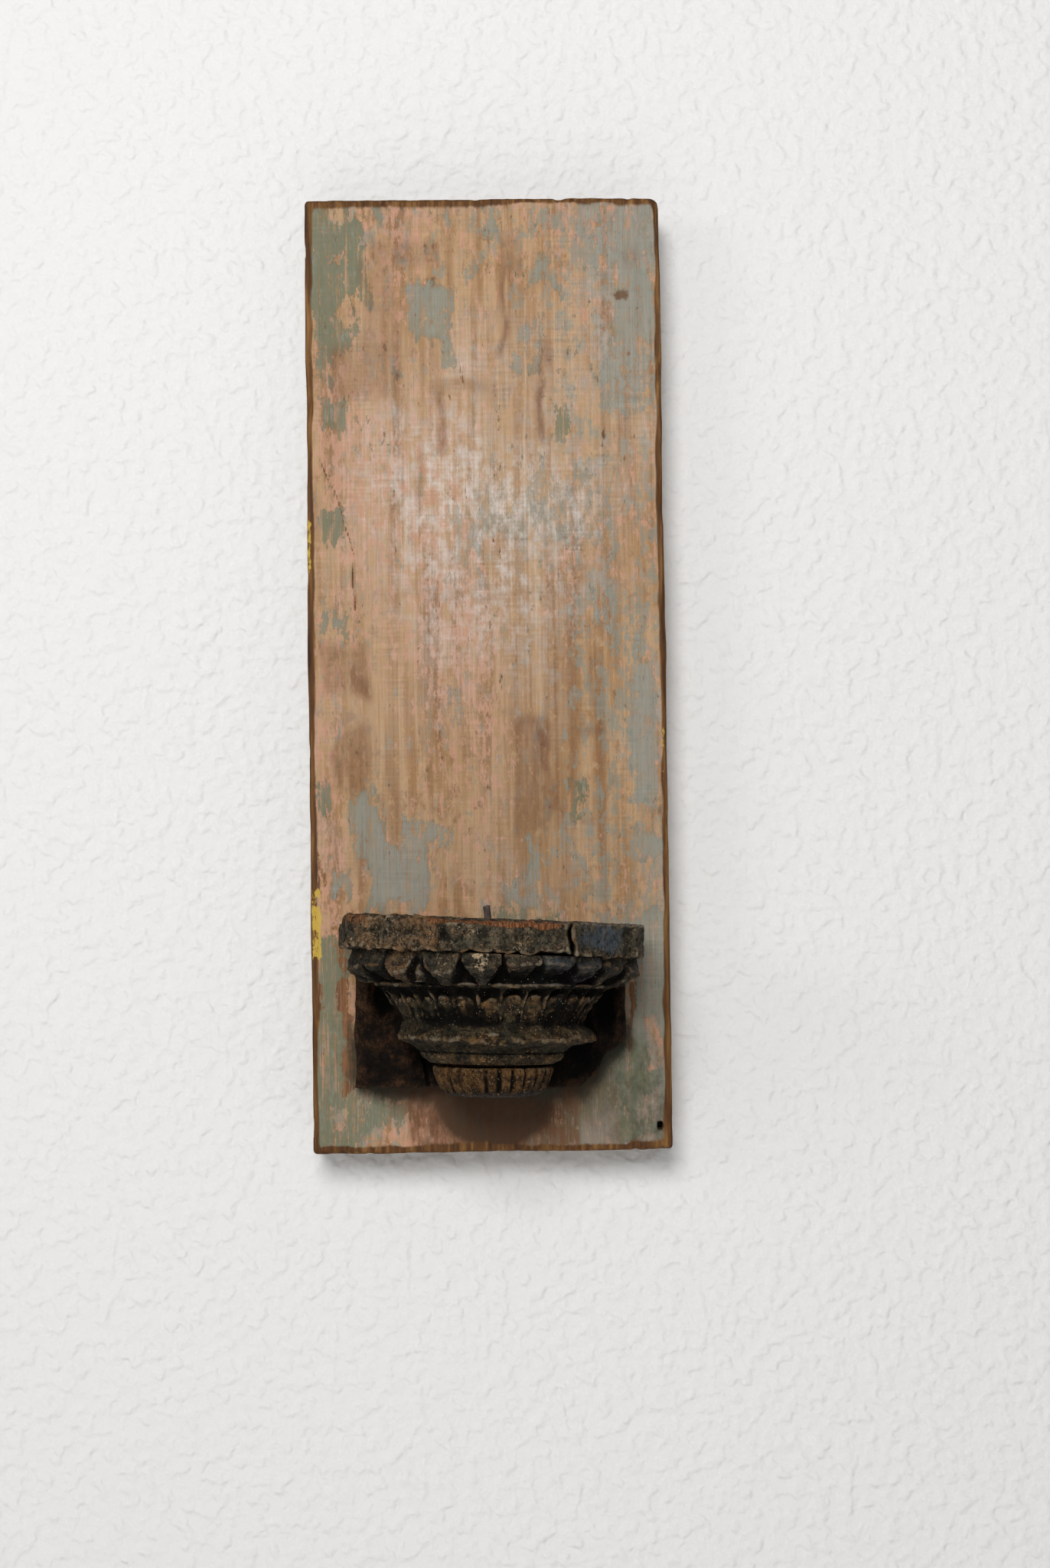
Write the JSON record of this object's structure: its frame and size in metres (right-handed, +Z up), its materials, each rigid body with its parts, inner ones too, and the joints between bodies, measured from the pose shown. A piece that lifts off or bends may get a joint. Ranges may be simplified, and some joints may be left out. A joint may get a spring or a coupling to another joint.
{
  "type": "wall candle holder",
  "caption": "Wall-hung candle holder: an upright old painted plank with a dark carved half-round capital that carries a candle on a nail spike.",
  "frame": {"origin": "where the axis of the wall screw that the hanger ring hangs on meets the wall", "axes": "+Z up along the plank, +X to the right for someone who faces the front, +Y into the wall"},
  "size_m": [0.16, 0.1281, 0.428],
  "materials": {
    "painted_plank": "worn matt paint on bare wood",
    "dark_carved_wood": "dark weathered",
    "old_iron": "rusted",
    "zinc_steel": "dull zinc",
    "felt": "matt felt"
  },
  "bodies": {
    "holder": {"backboard": "painted_plank", "back_block": "dark_carved_wood", "carved_capital": "dark_carved_wood", "fluted_drop": "dark_carved_wood", "abacus_slab": "dark_carved_wood", "candle_spike": "old_iron", "slab_nail_left": "old_iron", "slab_nail_right": "old_iron", "bracket_screw_left": "zinc_steel", "bracket_screw_right": "zinc_steel", "bracket_screw_lower": "zinc_steel", "hanger_strap": "zinc_steel", "hanger_screw_upper": "zinc_steel", "hanger_screw_lower": "zinc_steel", "bumper_left": "felt", "bumper_right": "felt"},
    "ring": {"hanger_ring": "zinc_steel"}
  },
  "joints": [
    {"name": "hanger_ring_swing", "type": "hinge", "parent": "holder", "child": "ring", "pos_m": [0, -0.00272, -0.0128], "axis": [-1, 0, 0], "range_deg": [0, 175]}
  ]
}
